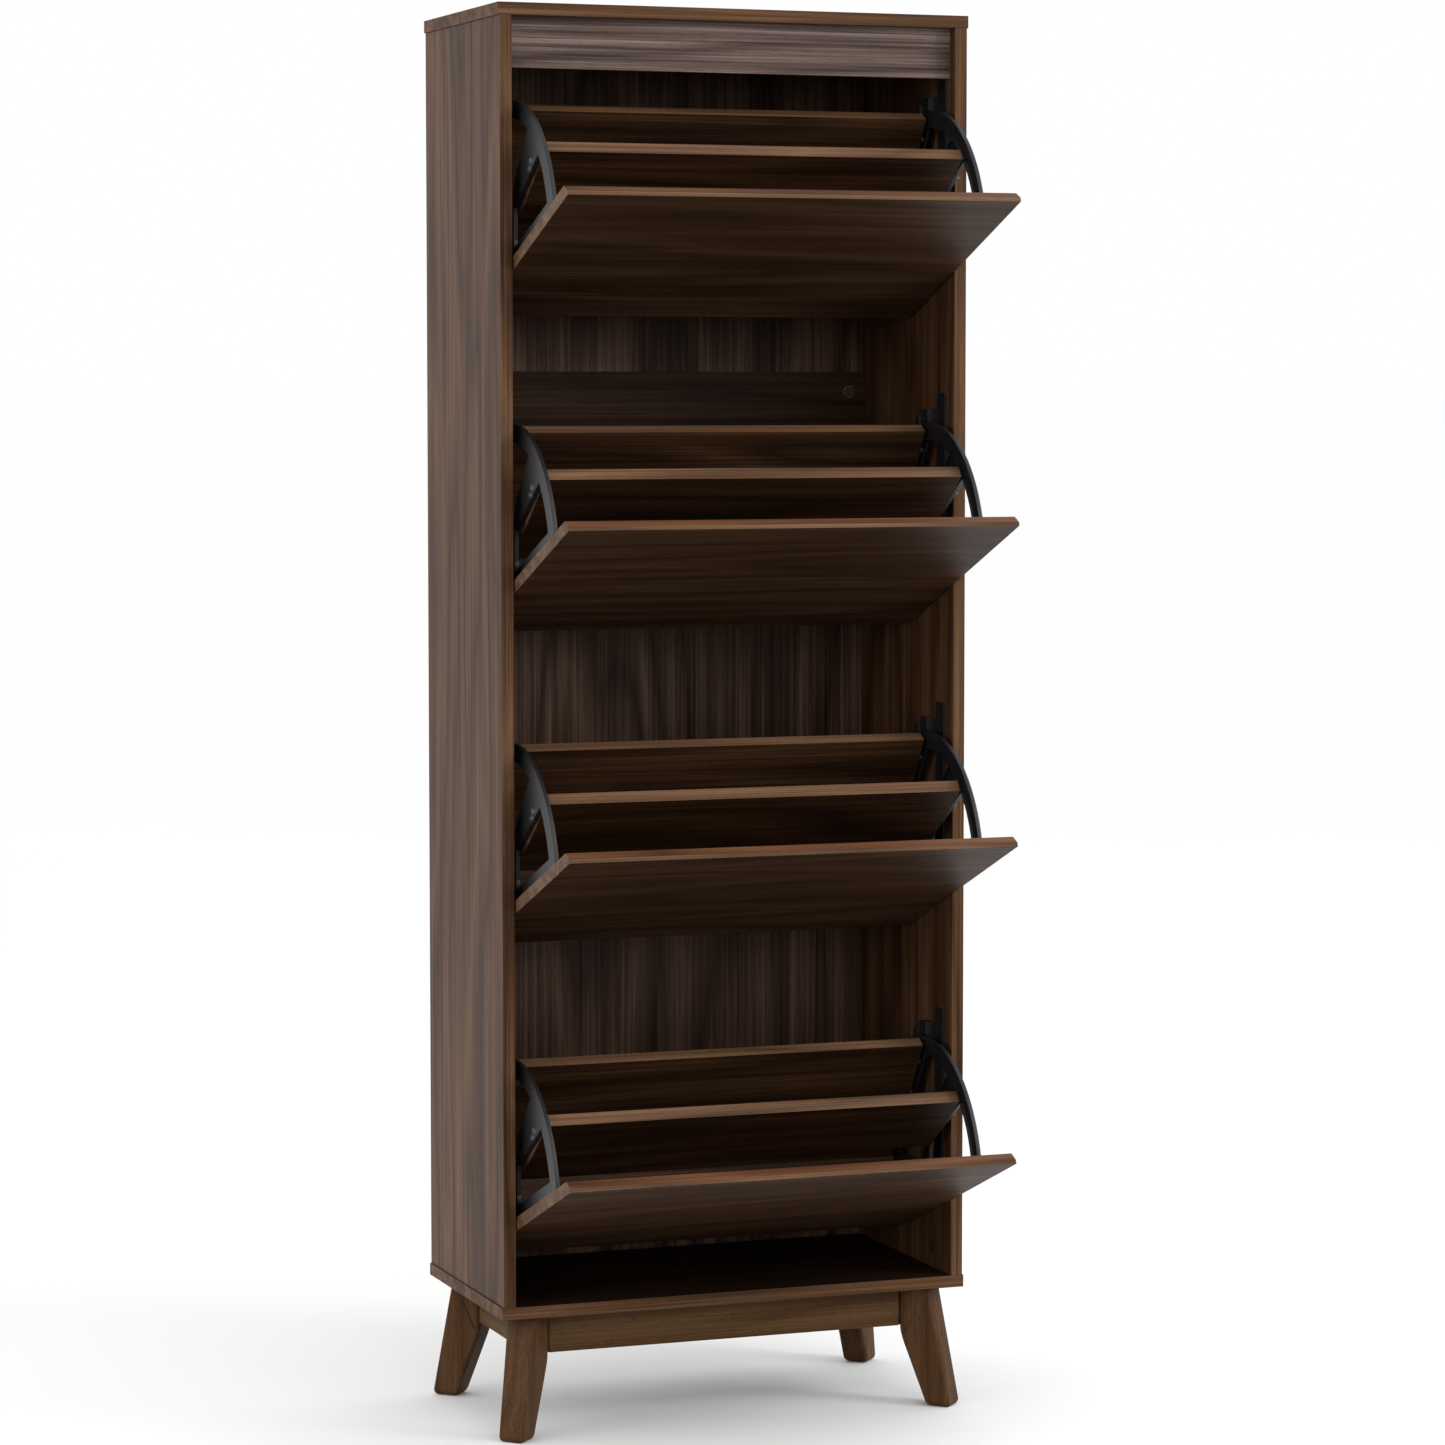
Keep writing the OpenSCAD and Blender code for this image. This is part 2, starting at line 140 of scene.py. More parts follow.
def empty_material(name: str) -> tuple[bpy.types.Material, bpy.types.Node, bpy.types.Node]:
    """Makes a material that holds only its output and its coordinates.

    Args:
        name: Name of the material.

    Returns:
        The material, its output node and its coordinate node.
    """
    mat = bpy.data.materials.new(name)
    mat.use_nodes = True
    mat.node_tree.nodes.clear()
    out = add_node(mat.node_tree, "ShaderNodeOutputMaterial")
    coords = add_node(mat.node_tree, "ShaderNodeTexCoord")
    return mat, out, coords


@dataclass(frozen=True)
class WoodFinish:
    """A wood surface whose figure is drawn from streaks, bands, pores and clouds.

    Attributes:
        dark: Colour of the late wood, the darkest streaks.
        middle: Colour of most of the surface.
        light: Colour of the pale streaks.
        roughness: Roughness of the lacquer or laminate.
        band_mm: Spacing of the broad figure across the grain.
        streak_mm: Width of the fine streaks across the grain.
        pore_depth: How far the pores darken the colour, from 0 to 1.
        vein_depth: How far the dark ring lines darken the colour, from 0 to 1.
        contrast: Width of the figure's range that the three colours span; less is stronger.
        bump_mm: Height of the relief.
    """

    dark: str
    middle: str
    light: str
    roughness: float
    band_mm: float
    streak_mm: float
    pore_depth: float
    vein_depth: float
    contrast: float
    bump_mm: float

    def material(self, name: str, grain: Grain, tilt_deg: float, seed: float) -> bpy.types.Material:
        """Builds the procedural material.

        Args:
            name: Name of the material.
            grain: Axis of the fibres, before the tilt.
            tilt_deg: Turn of the board about the X axis at rest.
            seed: Shift along the pattern, so that no two boards are cut from one place.

        Returns:
            The material.
        """
        mat, out, coords = empty_material(name)
        tree = mat.node_tree
        along = self._along_grain(tree, coords, grain, tilt_deg, seed)
        figure = self._figure(tree, along)
        pores = self._pores(tree, along)
        ramp = add_node(tree, "ShaderNodeValToRGB", {}, {"Fac": figure})
        half = 0.5 * self.contrast
        set_stops(
            ramp,
            [(0.5 - half, srgb(self.dark)), (0.5, srgb(self.middle)), (0.5 + half, srgb(self.light))],
        )
        colour = ramp.outputs["Color"]
        for factor in (self._clouds(tree, along), pores, self._veins(tree, along)):
            dimmed = add_node(
                tree, "ShaderNodeVectorMath", {"operation": "SCALE"}, {"Vector": colour, "Scale": factor}
            )
            colour = dimmed.outputs["Vector"]
        rough = add_node(
            tree,
            "ShaderNodeMapRange",
            {},
            {"Value": figure, "To Min": self.roughness + 0.07, "To Max": self.roughness - 0.05},
        )
        bump = add_node(
            tree,
            "ShaderNodeBump",
            {},
            {"Strength": WOOD_RELIEF, "Distance": self.bump_mm * MM, "Height": pores},
        )
        shader = add_node(
            tree,
            "ShaderNodeBsdfPrincipled",
            {},
            {
                "Base Color": colour,
                "Roughness": rough.outputs["Result"],
                "IOR": LACQUER_IOR,
                "Specular IOR Level": LACQUER_SPECULAR,
                "Normal": bump.outputs["Normal"],
            },
        )
        tree.links.new(shader.outputs["BSDF"], out.inputs["Surface"])
        return mat

    def _along_grain(
        self,
        tree: bpy.types.NodeTree,
        coords: bpy.types.Node,
        grain: Grain,
        tilt_deg: float,
        seed: float,
    ) -> bpy.types.Node:
        """Turns the coordinates so that the grain runs along X.

        Args:
            tree: The node tree.
            coords: The node that gives the object's coordinates.
            grain: Axis of the fibres, before the tilt.
            tilt_deg: Turn of the board about the X axis at rest.
            seed: Shift along the pattern.

        Returns:
            The node that gives the turned coordinates.
        """
        level = add_node(
            tree,
            "ShaderNodeMapping",
            {"vector_type": "TEXTURE"},
            {"Vector": coords.outputs["Object"], "Rotation": (math.radians(tilt_deg), 0.0, 0.0)},
        )
        turn = {
            Grain.ACROSS: (0.0, 0.0, 0.0),
            Grain.DEEP: (0.0, 0.0, -math.pi / 2),
            Grain.UPRIGHT: (0.0, math.pi / 2, 0.0),
        }[grain]
        shift = (seed * 3.1, seed * 1.7, seed * 2.3)
        return add_node(
            tree,
            "ShaderNodeMapping",
            {},
            {"Vector": level.outputs["Vector"], "Rotation": turn, "Location": shift},
        )

    def _clouds(self, tree: bpy.types.NodeTree, along: bpy.types.Node) -> bpy.types.NodeSocket:
        """Adds the broad patches that are a little darker or paler than the rest.

        Args:
            tree: The node tree.
            along: The node that gives coordinates with the grain along X.

        Returns:
            Factors around 1 for the colour.
        """
        cells = self._stretched_cells(tree, along, CLOUD_CELLS, 2.0)
        depth = add_node(
            tree,
            "ShaderNodeMapRange",
            {},
            {"Value": cells, "From Min": 0.3, "From Max": 0.7, "To Min": 0.9, "To Max": 1.08},
        )
        return depth.outputs["Result"]

    def _veins(self, tree: bpy.types.NodeTree, along: bpy.types.Node) -> bpy.types.NodeSocket:
        """Adds the dark lines where one growth ring ends.

        Args:
            tree: The node tree.
            along: The node that gives coordinates with the grain along X.

        Returns:
            Factors of 1 between the lines and less in them.
        """
        rings = self._growth_rings(tree, along)
        depth = add_node(
            tree,
            "ShaderNodeMapRange",
            {},
            {
                "Value": rings,
                "From Min": 0.0,
                "From Max": 0.3,
                "To Min": 1.0 - self.vein_depth,
                "To Max": 1.0,
            },
        )
        return depth.outputs["Result"]

    def _stretched_cells(
        self,
        tree: bpy.types.NodeTree,
        along: bpy.types.Node,
        per_metre: tuple[float, float, float],
        detail: float,
    ) -> bpy.types.NodeSocket:
        """Adds a random pattern whose cells are stretched along the grain.

        Args:
            tree: The node tree.
            along: The node that gives coordinates with the grain along X.
            per_metre: Cells per metre along and across the grain.
            detail: Number of finer layers.

        Returns:
            Values between 0 and 1.
        """
        stretch = add_node(
            tree, "ShaderNodeMapping", {}, {"Vector": along.outputs["Vector"], "Scale": per_metre}
        )
        cells = add_node(
            tree,
            "ShaderNodeTexNoise",
            {},
            {"Vector": stretch.outputs["Vector"], "Scale": 1.0, "Detail": detail, "Roughness": 0.66},
        )
        return cells.outputs["Fac"]

    def _figure(self, tree: bpy.types.NodeTree, along: bpy.types.Node) -> bpy.types.NodeSocket:
        """Mixes wandering growth bands with long fine streaks.

        Args:
            tree: The node tree.
            along: The node that gives coordinates with the grain along X.

        Returns:
            Values from 0, dark, to 1, pale.
        """
        wave = self._growth_rings(tree, along)
        streaks = 1.0 / (self.streak_mm * MM)
        long_streaks = self._stretched_cells(tree, along, (1.3, streaks * 0.8, streaks * 0.8), 3.0)
        fibres = self._stretched_cells(tree, along, (4.0, streaks * 2.4, streaks * 2.4), 2.0)
        mix_a = add_node(
            tree,
            "ShaderNodeMix",
            {"data_type": "FLOAT"},
            {0: STREAK_SHARE, 2: wave, 3: long_streaks},
        )
        mix_b = add_node(
            tree,
            "ShaderNodeMix",
            {"data_type": "FLOAT"},
            {0: FIBRE_SHARE, 2: mix_a.outputs[0], 3: fibres},
        )
        return mix_b.outputs[0]

    def _growth_rings(
        self, tree: bpy.types.NodeTree, along: bpy.types.Node
    ) -> bpy.types.NodeSocket:
        """Adds the wandering arches that growth rings leave on a sawn board.

        Args:
            tree: The node tree.
            along: The node that gives coordinates with the grain along X.

        Returns:
            Values that run up and down between 0 and 1 from ring to ring.
        """
        bands = 1.0 / (self.band_mm * MM)
        broad = self._stretched_cells(tree, along, (0.7, bands * 0.3, bands * 0.3), 2.0)
        rings = add_node(tree, "ShaderNodeMath", {"operation": "MULTIPLY"}, {0: broad, 1: RING_FOLDS})
        folded = add_node(
            tree, "ShaderNodeMath", {"operation": "PINGPONG"}, {0: rings.outputs[0], 1: 1.0}
        )
        return folded.outputs[0]

    def _pores(self, tree: bpy.types.NodeTree, along: bpy.types.Node) -> bpy.types.NodeSocket:
        """Adds the short dark pores of open-grained wood.

        Args:
            tree: The node tree.
            along: The node that gives coordinates with the grain along X.

        Returns:
            Values of 1 between the pores and less in them.
        """
        specks = self._stretched_cells(tree, along, PORE_CELLS, 1.0)
        depth = add_node(
            tree,
            "ShaderNodeMapRange",
            {},
            {
                "Value": specks,
                "From Min": 0.34,
                "From Max": 0.44,
                "To Min": 1.0 - self.pore_depth,
                "To Max": 1.0,
            },
        )
        return depth.outputs["Result"]


@dataclass(frozen=True)
class PlainFinish:
    """A moulded plastic or plated steel surface with a faint uneven tone.

    Attributes:
        low: Darker tone.
        high: Paler tone.
        roughness: Mean roughness.
        metallic: 1 for bare metal, otherwise 0.
        speck_mm: Size of the surface's unevenness.
        bump_mm: Height of its relief.
    """

    low: str
    high: str
    roughness: float
    metallic: float
    speck_mm: float
    bump_mm: float

    def material(self, name: str) -> bpy.types.Material:
        """Builds the procedural material.

        Args:
            name: Name of the material.

        Returns:
            The material.
        """
        mat, out, coords = empty_material(name)
        tree = mat.node_tree
        noise = add_node(
            tree,
            "ShaderNodeTexNoise",
            {},
            {"Vector": coords.outputs["Object"], "Scale": 1.0 / (self.speck_mm * MM), "Detail": 3.0},
        )
        ramp = add_node(tree, "ShaderNodeValToRGB", {}, {"Fac": noise.outputs["Fac"]})
        set_stops(ramp, [(0.35, srgb(self.low)), (0.65, srgb(self.high))])
        rough = add_node(
            tree,
            "ShaderNodeMapRange",
            {},
            {
                "Value": noise.outputs["Fac"],
                "To Min": self.roughness - 0.06,
                "To Max": self.roughness + 0.06,
            },
        )
        bump = add_node(
            tree,
            "ShaderNodeBump",
            {},
            {
                "Strength": PLASTIC_RELIEF,
                "Distance": self.bump_mm * MM,
                "Height": noise.outputs["Fac"],
            },
        )
        shader = add_node(
            tree,
            "ShaderNodeBsdfPrincipled",
            {},
            {
                "Base Color": ramp.outputs["Color"],
                "Roughness": rough.outputs["Result"],
                "Metallic": self.metallic,
                "Normal": bump.outputs["Normal"],
            },
        )
        tree.links.new(shader.outputs["BSDF"], out.inputs["Surface"])
        return mat


# Walnut-look laminate: dusky brown with darker streaks and arches, on the doors, top and bottom.
WALNUT = WoodFinish("#38251b", "#5b402e", "#7d5f48", 0.46, 44.0, 4.0, 0.2, 0.16, 0.3, 0.05)
# The same laminate on the tall sides, where the light brings out a yellower brown.
WALNUT_SIDE = WoodFinish("#372317", "#593c28", "#7b5a3f", 0.46, 44.0, 4.0, 0.2, 0.16, 0.3, 0.05)
# The same laminate on the bins' inner boards and the stretcher, painted a warmer, deeper brown for the
# shade inside the case.
WALNUT_SHADED_BIN = WoodFinish("#21140b", "#382416", "#523824", 0.5, 44.0, 4.0, 0.2, 0.18, 0.3, 0.05)
# The same laminate deep inside the case, painted a near black-brown for the shade that falls there.
WALNUT_DEEP_SHADE = WoodFinish("#140c06", "#23160c", "#342316", 0.55, 60.0, 4.0, 0.2, 0.3, 0.26, 0.05)
# The same laminate on the fascia, painted cooler and paler for the grey sheen of light reflected on it.
WALNUT_FASCIA_SHEEN = WoodFinish("#453934", "#76615a", "#a4928a", 0.42, 60.0, 4.0, 0.2, 0.26, 0.28, 0.05)
# Edge banding of the case: close to the boards, a little warmer.
CASE_BAND = WoodFinish("#3c2718", "#5e412b", "#7e5d43", 0.5, 30.0, 4.0, 0.15, 0.15, 0.3, 0.03)
# Edge banding of the bins: the paler strip that outlines their boards.
BIN_BAND = WoodFinish("#493423", "#6c4f39", "#896a50", 0.48, 30.0, 4.0, 0.15, 0.15, 0.36, 0.03)
# The bevel behind the door's top edge: warm brown where the light rakes it.
BEVEL_WRAP = WoodFinish("#432b1c", "#64412b", "#83593b", 0.48, 40.0, 4.0, 0.15, 0.2, 0.32, 0.04)
# Hardboard back panel: printed with a dark upright grain.
BACK_BOARD = WoodFinish("#2f2118", "#563f32", "#7c6152", 0.46, 60.0, 5.0, 0.12, 0.3, 0.3, 0.03)
# Stained solid wood of the legs: warmer and finer than the laminate, with open pores.
LEG_WOOD = WoodFinish("#3e2815", "#5a3d25", "#745438", 0.5, 26.0, 1.8, 0.3, 0.08, 0.46, 0.12)
# The same stain on the apron rails, a little paler and greyer.
APRON_WOOD = WoodFinish("#48311b", "#684b2f", "#866746", 0.5, 26.0, 1.8, 0.3, 0.08, 0.46, 0.12)
# Moulded black nylon: a soft grey sheen along its ribs.
BLACK_NYLON = PlainFinish("#121214", "#1b1b1e", 0.45, 0.0, 1.2, 0.02)
# Bright zinc plating: small glints on screws and nails.
ZINC = PlainFinish("#a9acb1", "#cfd2d6", 0.28, 1.0, 2.0, 0.01)
# Reddish brown cover caps: a shade redder than the board they sit on.
COVER_CAP = PlainFinish("#331c13", "#41261b", 0.5, 0.0, 3.0, 0.01)


def soften(obj: bpy.types.Object, width_mm: float, segments: int = 2, clamp: bool = True) -> None:
    """Rounds a piece's sharp edges a little with a Bevel modifier.

    Args:
        obj: The piece.
        width_mm: Width of the rounding.
        segments: Number of facets across it.
        clamp: Whether the rounding shrinks where short edges leave no room for it.
    """
    weld = obj.modifiers.new("joined_corners", "WELD")
    weld.merge_threshold = 0.02 * MM
    bevel = obj.modifiers.new("soft_edges", "BEVEL")
    bevel.width = width_mm * MM
    bevel.segments = segments
    bevel.limit_method = "ANGLE"
    bevel.angle_limit = math.radians(SHARP_DEG)
    bevel.use_clamp_overlap = clamp


def paint(obj: bpy.types.Object, material: bpy.types.Material) -> None:
    """Gives a piece one material.

    Args:
        obj: The piece.
        material: The material that replaces whatever it had.
    """
    obj.data.materials.clear()
    obj.data.materials.append(material)
    for face in obj.data.polygons:
        face.material_index = 0


def paint_faces(
    obj: bpy.types.Object,
    materials: list[bpy.types.Material],
    choose: Callable[[Vector], int],
) -> None:
    """Gives a piece several materials, chosen face by face.

    Args:
        obj: The piece.
        materials: The materials, in the order of the numbers that choose returns.
        choose: A function of a face's normal that returns a material's number.
    """
    obj.data.materials.clear()
    for material in materials:
        obj.data.materials.append(material)
    for face in obj.data.polygons:
        face.material_index = choose(face.normal)


@dataclass
class Carcass:
    """The standing boards: sides, top, bottom, back, fascia and stretcher.

    Attributes:
        nodes: The object's nodes by name.
        edge_mm: Width of the boards' rounded edges.
        stretcher_edge_mm: Width of the stretcher's rounded edges.
    """

    nodes: dict[str, bpy.types.Object]
    edge_mm: float = 0.5
    stretcher_edge_mm: float = 0.4

    def dress(self) -> None:
        """Paints the boards, with paler banding on the front edges."""
        band_up = CASE_BAND.material("edge_band_upright", Grain.UPRIGHT, 0.0, 0.3)
        band_across = CASE_BAND.material("edge_band_across", Grain.ACROSS, 0.0, 0.7)
        for seed, name in enumerate(("side_left", "side_right")):
            wood = WALNUT_SIDE.material(f"walnut_{name}", Grain.UPRIGHT, 0.0, 1.0 + seed)
            self._banded(name, wood, band_up)
        for seed, name in enumerate(("top_panel", "bottom_panel")):
            wood = WALNUT.material(f"walnut_{name}", Grain.ACROSS, 0.0, 4.0 + seed)
            self._banded(name, wood, band_across)
        self._paint_inner_shade()
        back = BACK_BOARD.material("hardboard_back", Grain.UPRIGHT, 0.0, 7.0)
        paint(self.nodes["back_panel"], back)
        # The fascia's paler, greyer laminate is a painted sheen of reflected light.
        fascia = WALNUT_FASCIA_SHEEN.material("walnut_fascia_sheen", Grain.ACROSS, 0.0, 8.0)
        self._banded("fascia_rail", fascia, band_across)
        # The stretcher takes the darker bin laminate: painted shade for its place deep in the case.
        stretcher = WALNUT_SHADED_BIN.material("walnut_stretcher", Grain.ACROSS, 0.0, 9.0)
        paint(self.nodes["rear_stretcher"], stretcher)
        soften(self.nodes["rear_stretcher"], self.stretcher_edge_mm)
        log.info("carcass: 7 boards dressed")

    def _paint_inner_shade(self) -> None:
        """Gives the bottom panel's upper face a painted shade: the dark brown of the case's shaded
        inside.
        """
        panel = self.nodes["bottom_panel"]
        panel.data.materials.append(WALNUT_DEEP_SHADE.material("walnut_inner_floor_shade", Grain.ACROSS, 0.0, 6.0))
        # Upward faces of the bottom panel get painted shade for the dark floor inside the case.
        for face in panel.data.polygons:
            if face.normal.z > FACING:
                face.material_index = 2

    def _banded(self, name: str, wood: bpy.types.Material, band: bpy.types.Material) -> None:
        """Paints one board, with banding on its thin edges.

        Args:
            name: The board's node.
            wood: Material of its two large faces.
            band: Material of its edges.
        """
        obj = self.nodes[name]
        low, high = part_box(name)
        spans = [high[k] - low[k] for k in range(3)]
        thin = spans.index(min(spans))
        paint_faces(obj, [wood, band], lambda normal: 0 if abs(normal[thin]) > FACING else 1)
        soften(obj, self.edge_mm)


@dataclass
class Base:
    """The legs, the apron rails and their steel fittings.

    Attributes:
        nodes: The object's nodes by name.
        leg_edge_mm: Width of the legs' rounded edges.
        leg_facets: Number of facets across them.
        rail_edge_mm: Width of the rails' rounded edges.
    """

    nodes: dict[str, bpy.types.Object]
    leg_edge_mm: float = 6.0
    leg_facets: int = 5
    rail_edge_mm: float = 0.8

    def dress(self) -> None:
        """Paints the base and rounds the legs."""
        for seed, corner in enumerate(("front_left", "front_right", "rear_left", "rear_right")):
            leg = self.nodes[f"leg_{corner}"]
            paint(leg, LEG_WOOD.material(f"stained_wood_leg_{corner}", Grain.UPRIGHT, 0.0, 11.0 + seed))
            soften(leg, self.leg_edge_mm, self.leg_facets, clamp=False)
        rails = {
            "front": Grain.ACROSS,
            "rear": Grain.ACROSS,
            "left": Grain.DEEP,
            "right": Grain.DEEP,
        }
        for seed, (side, grain) in enumerate(rails.items()):
            rail = self.nodes[f"apron_{side}"]
            paint(rail, APRON_WOOD.material(f"stained_wood_apron_{side}", grain, 0.0, 16.0 + seed))
            soften(rail, self.rail_edge_mm)
        zinc = ZINC.material("zinc_base_fittings")
        paint(self.nodes["corner_plates"], zinc)
        paint(self.nodes["leg_bolts"], zinc)
        log.info("base: 4 legs, 4 aprons and their fittings dressed")


@dataclass
class Fittings:
    """Small hardware fixed to the carcass.

    Attributes:
        nodes: The object's nodes by name.
        plate_edge_mm: Width of the pivot plates' rounded edges.
    """

    nodes: dict[str, bpy.types.Object]
    plate_edge_mm: float = 0.4

    def dress(self) -> None:
        """Paints the hardware."""
        zinc = ZINC.material("zinc_small_fittings")
        nylon = BLACK_NYLON.material("black_nylon_plates")
        for name in ("cam_locks", "back_nails", "plate_screws"):
            paint(self.nodes[name], zinc)
        paint(self.nodes["cam_covers"], COVER_CAP.material("brown_cover_caps"))
        for number in BIN_NUMBERS:
            for side in SIDES:
                plate = self.nodes[f"pivot_plate_{number}_{side}"]
                paint(plate, nylon)
                soften(plate, self.plate_edge_mm)
        log.info("fittings: 8 pivot plates, cams, nails and screws dressed")


@dataclass
class TipOutBin:
    """One bin: its door, boards, fan brackets and screws.

    Attributes:
        nodes: The object's nodes by name.
        number: Place of the bin, from 1 at the top.
        tilt_deg: Turn of the open bin about the X axis.
        board_edge_mm: Width of the inner boards' rounded edges.
        fine_edge_mm: Width of the door's and the brackets' rounded edges.
    """

    nodes: dict[str, bpy.types.Object]
    number: int
    tilt_deg: float
    board_edge_mm: float = 0.5
    fine_edge_mm: float = 0.4

    def dress(self) -> None:
        """Paints the bin's pieces."""
        seed = 20.0 + 5.0 * self.number
        prefix = f"bin{self.number}_"
        self._dress_door(self.nodes[prefix + "door"], seed)
        band = BIN_BAND.material(f"edge_band_bin{self.number}", Grain.ACROSS, 0.0, seed + 1)
        for shift, part in enumerate(("divider", "rear_board", "floor_board")):
            board = self.nodes[prefix + part]
            # The inner boards take the darker laminate, painted deeper for the shade inside the bin.
            wood = WALNUT_SHADED_BIN.material(
                f"walnut_{prefix}{part}", Grain.ACROSS, self.tilt_deg, seed + 2 + shift
            )
            thick = self._thick_direction(board)
            paint_faces(
                board, [wood, band], lambda normal: 0 if abs(normal.dot(thick)) > FLAT else 1
            )
            soften(board, self.board_edge_mm)
        nylon = BLACK_NYLON.material(f"black_nylon_bin{self.number}")
        for side in SIDES:
            bracket = self.nodes[prefix + f"bracket_{side}"]
            paint(bracket, nylon)
            soften(bracket, self.fine_edge_mm)
        paint(self.nodes[prefix + "screws"], ZINC.material(f"zinc_bin{self.number}"))
        log.info("bin %d: door, 3 boards, 2 brackets and screws dressed", self.number)

    def _thick_direction(self, board: bpy.types.Object) -> Vector:
        """Finds the normal of a board's two largest faces.

        Args:
            board: A board.

        Returns:
            The normal.
        """
        areas: dict[tuple[float, float, float], float] = {}
        for face in board.data.polygons:
            key = tuple(round(abs(v), 2) for v in face.normal)
            areas[key] = areas.get(key, 0.0) + face.area
        best = max(areas, key=areas.get)
        for face in board.data.polygons:
            if tuple(round(abs(v), 2) for v in face.normal) == best:
                return face.normal.copy()
        return Vector((0.0, 0.0, 1.0))

    def _dress_door(self, door: bpy.types.Object, seed: float) -> None:
        """Paints a door: laminate, a pale land and a warm bevel at the top.

        Args:
            door: The door.
            seed: Shift along the pattern.
        """
        wood = WALNUT.material(f"walnut_door{self.number}", Grain.ACROSS, self.tilt_deg, seed)
        band = BIN_BAND.material(f"edge_band_door{self.number}", Grain.ACROSS, self.tilt_deg, seed + 1)
        bevel = BEVEL_WRAP.material(
            f"bevel_wrap_door{self.number}", Grain.ACROSS, self.tilt_deg, seed + 2
        )
        tilt = math.radians(self.tilt_deg)
        outward = Vector((0.0, -math.cos(tilt), -math.sin(tilt)))
        upward = Vector((0.0, -math.sin(tilt), math.cos(tilt)))

        def choose(normal: Vector) -> int:
            """Tells the large faces, the bevel and the edges apart.

            Args:
                normal: A face's normal.

            Returns:
                0 for a large face, 2 for the bevel and 1 for any other edge.
            """
            if abs(normal.dot(outward)) > FLAT:
                return 0
            if normal.dot(upward) > 0.5 and normal.dot(outward) < -0.5:
                return 2
            return 1

        paint_faces(door, [wood, band, bevel], choose)
        soften(door, self.fine_edge_mm)


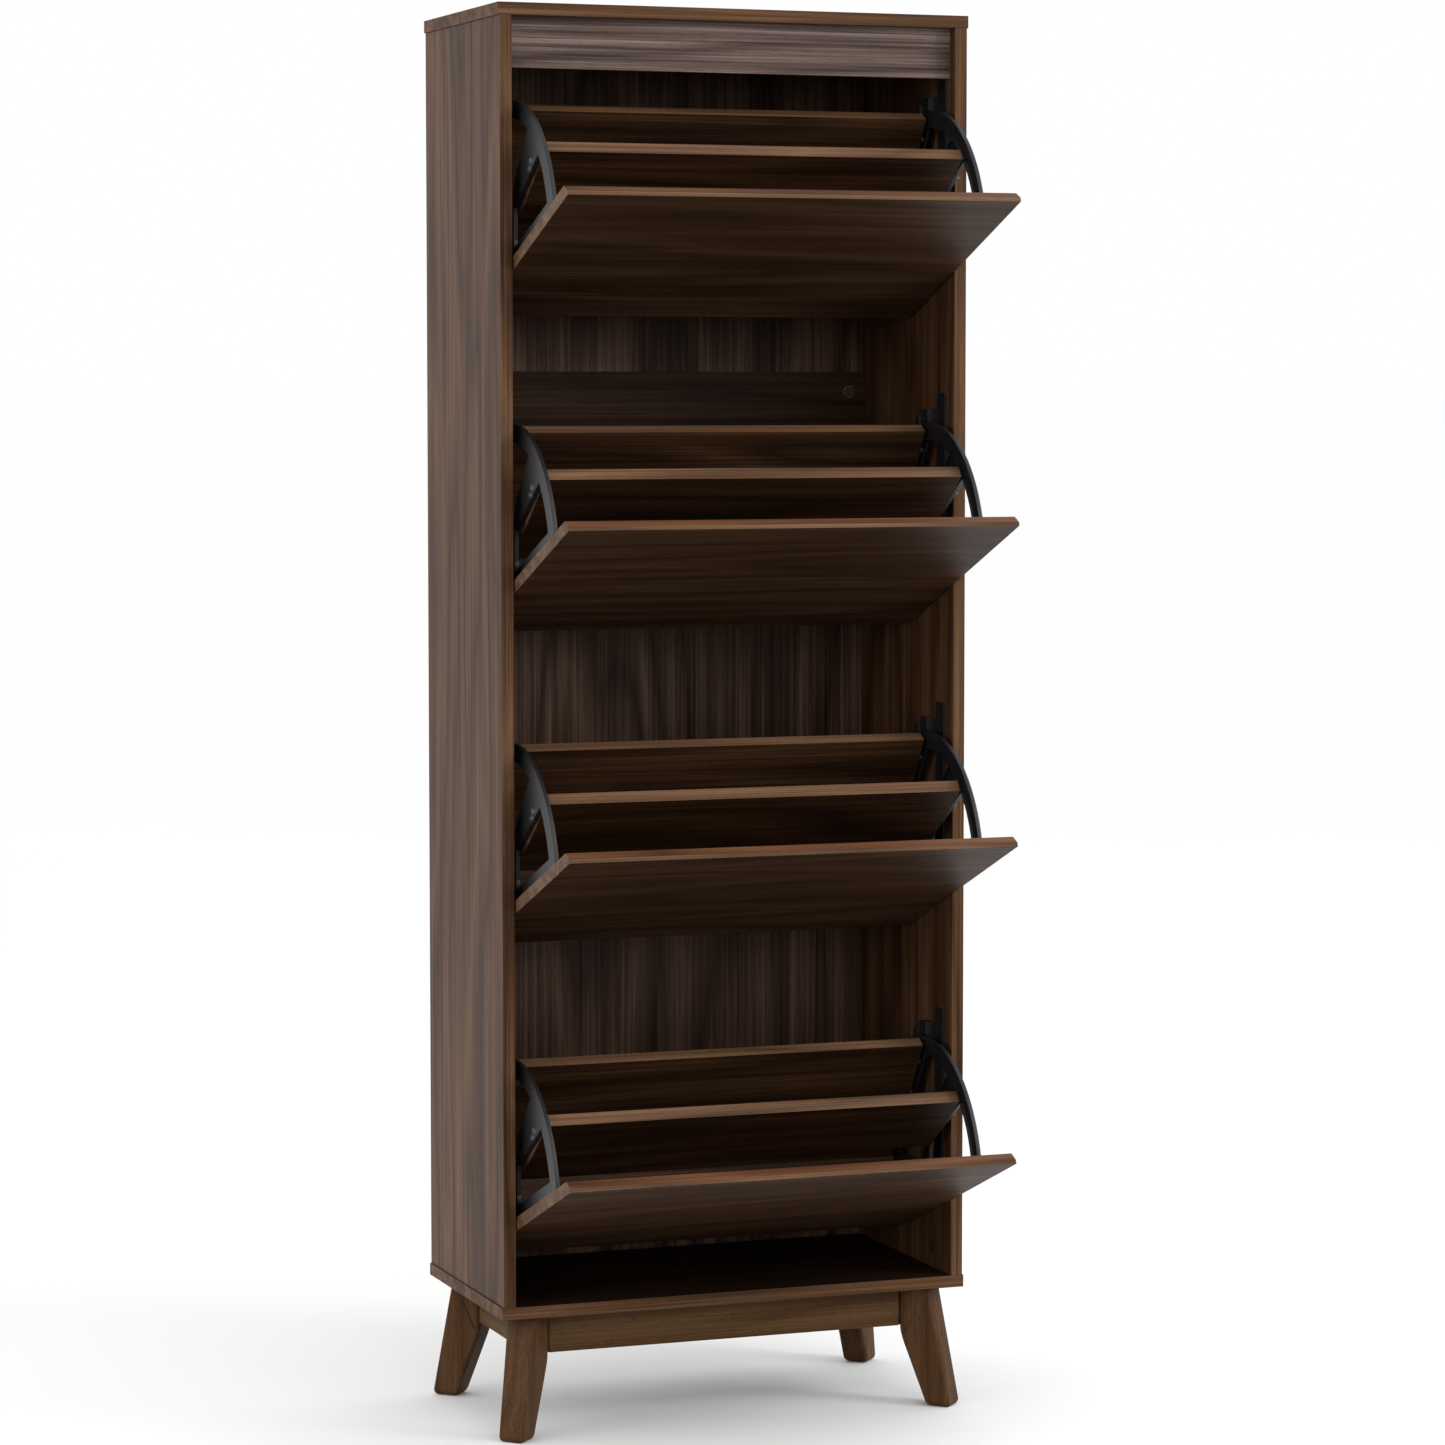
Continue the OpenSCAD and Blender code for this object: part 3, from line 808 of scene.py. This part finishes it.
@dataclass(frozen=True)
class Studio:
    """The floor, the lights and the camera.

    Attributes:
        front_y: The cabinet's front plane in the frame, in metres.
        height: The cabinet's height in metres.
        floor_size: Width of the floor in metres, so large that its rim lies at the horizon.
        view_reach: Farthest distance that the camera sees, in metres.
        horizon_drop: How far below the horizon the surround is dim, as part of a unit direction.
        horizon_blur: Over how much of a unit direction it turns from dim to white.
        lens_mm: Focal length of the camera on a 36 mm sensor.
        look_down_deg: Angle that the camera looks down.
        look_right_deg: Angle that it looks to the right of straight ahead.
    """

    front_y: float
    height: float
    floor_size: float = 4000.0
    view_reach: float = 5000.0
    horizon_drop: float = 0.12
    horizon_blur: float = 0.05
    lens_mm: float = 112.03
    look_down_deg: float = 4.25
    look_right_deg: float = 20.308

    def build(self) -> None:
        """Makes the whole studio."""
        bpy.context.scene.view_settings.view_transform = "Standard"
        self._floor()
        self._world()
        self._lights()
        self._camera()
        log.info("studio: floor, lights and camera made")

    def _floor(self) -> None:
        """Makes a plain pale floor that reaches the horizon and throws no light back."""
        bpy.ops.mesh.primitive_plane_add(size=self.floor_size, location=(0.0, 0.0, 0.0))
        floor = bpy.context.object
        floor.name = "studio_floor"
        mat, out, coords = empty_material("pale_studio_floor")
        tree = mat.node_tree
        noise = add_node(
            tree, "ShaderNodeTexNoise", {}, {"Vector": coords.outputs["Object"], "Scale": 0.8}
        )
        ramp = add_node(tree, "ShaderNodeValToRGB", {}, {"Fac": noise.outputs["Fac"]})
        set_stops(ramp, [(0.0, srgb("#fcfcfc")), (1.0, srgb("#ffffff"))])
        shader = add_node(
            tree,
            "ShaderNodeBsdfPrincipled",
            {},
            {"Base Color": ramp.outputs["Color"], "Roughness": 1.0, "Specular IOR Level": 0.0},
        )
        tree.links.new(shader.outputs["BSDF"], out.inputs["Surface"])
        floor.data.materials.append(mat)
        floor.visible_diffuse = False

    def _world(self) -> None:
        """Makes a white surround that turns dim just below the horizon."""
        world = bpy.data.worlds.new("studio_surround")
        bpy.context.scene.world = world
        world.use_nodes = True
        tree = world.node_tree
        tree.nodes.clear()
        out = add_node(tree, "ShaderNodeOutputWorld")
        coords = add_node(tree, "ShaderNodeTexCoord")
        parts = add_node(tree, "ShaderNodeSeparateXYZ", {}, {"Vector": coords.outputs["Generated"]})
        lifted = add_node(
            tree, "ShaderNodeMath", {"operation": "ADD"}, {0: parts.outputs["Z"], 1: self.horizon_drop}
        )
        ramp = add_node(tree, "ShaderNodeValToRGB", {}, {"Fac": lifted.outputs[0]})
        set_stops(ramp, [(0.0, srgb("#2c2825")), (self.horizon_blur, srgb("#ffffff"))])
        glow = add_node(
            tree, "ShaderNodeBackground", {}, {"Color": ramp.outputs["Color"], "Strength": 1.0}
        )
        tree.links.new(glow.outputs["Background"], out.inputs["Surface"])

    def _area(
        self, name: str, place: Vector, target: Vector, size: tuple[float, float], watts: float
    ) -> None:
        """Adds one soft area light.

        Args:
            name: Name of the light.
            place: Where it stands, in metres.
            target: The point that it faces.
            size: Its width and height in metres.
            watts: Its power.
        """
        data = bpy.data.lights.new(name, "AREA")
        data.shape = "RECTANGLE"
        data.size, data.size_y = size
        data.energy = watts
        lamp = bpy.data.objects.new(name, data)
        lamp.location = place
        lamp.rotation_euler = (target - place).to_track_quat("-Z", "Y").to_euler()
        bpy.context.collection.objects.link(lamp)

    def _lights(self) -> None:
        """Lights the cabinet from the front right and above, with a soft fill from the left."""
        middle = Vector((0.0, 0.0, self.height * 0.5))
        self._area("key_right", Vector((2.6, -2.0, 2.2)), middle, (1.0, 2.4), 40.0)
        self._area("fill_left", Vector((-4.5, -1.6, 0.9)), middle, (2.4, 3.4), 48.0)
        self._area("front_top", Vector((0.4, -3.2, 3.0)), middle, (2.0, 1.2), 15.0)

    def _camera(self) -> None:
        """Puts the camera to the front left of the cabinet, above half its height."""
        data = bpy.data.cameras.new("view")
        data.sensor_width = 36.0
        data.lens = self.lens_mm
        data.clip_end = self.view_reach
        camera = bpy.data.objects.new("view", data)
        camera.location = (-1.897, self.front_y - 5.074, 1.2631)
        camera.rotation_euler = (
            math.radians(90.0 - self.look_down_deg),
            0.0,
            math.radians(-self.look_right_deg),
        )
        bpy.context.collection.objects.link(camera)
        bpy.context.scene.camera = camera


def main() -> None:
    """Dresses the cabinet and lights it."""
    logging.basicConfig(level=logging.INFO, format="%(message)s")
    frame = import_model()
    nodes = frame["nodes"]
    swing = {joint["name"]: joint["range_deg"][1] for joint in frame["joints"]}
    Carcass(nodes).dress()
    Base(nodes).dress()
    Fittings(nodes).dress()
    for number in BIN_NUMBERS:
        TipOutBin(nodes, number, swing[f"bin{number}_hinge"]).dress()
    for name, piece in nodes.items():
        log.info("%s: %s", name, ", ".join(slot.name for slot in piece.data.materials))
    top_low, top_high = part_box("top_panel")
    Studio(float(top_low[1]), float(top_high[2])).build()


if __name__ == "__main__":
    main()
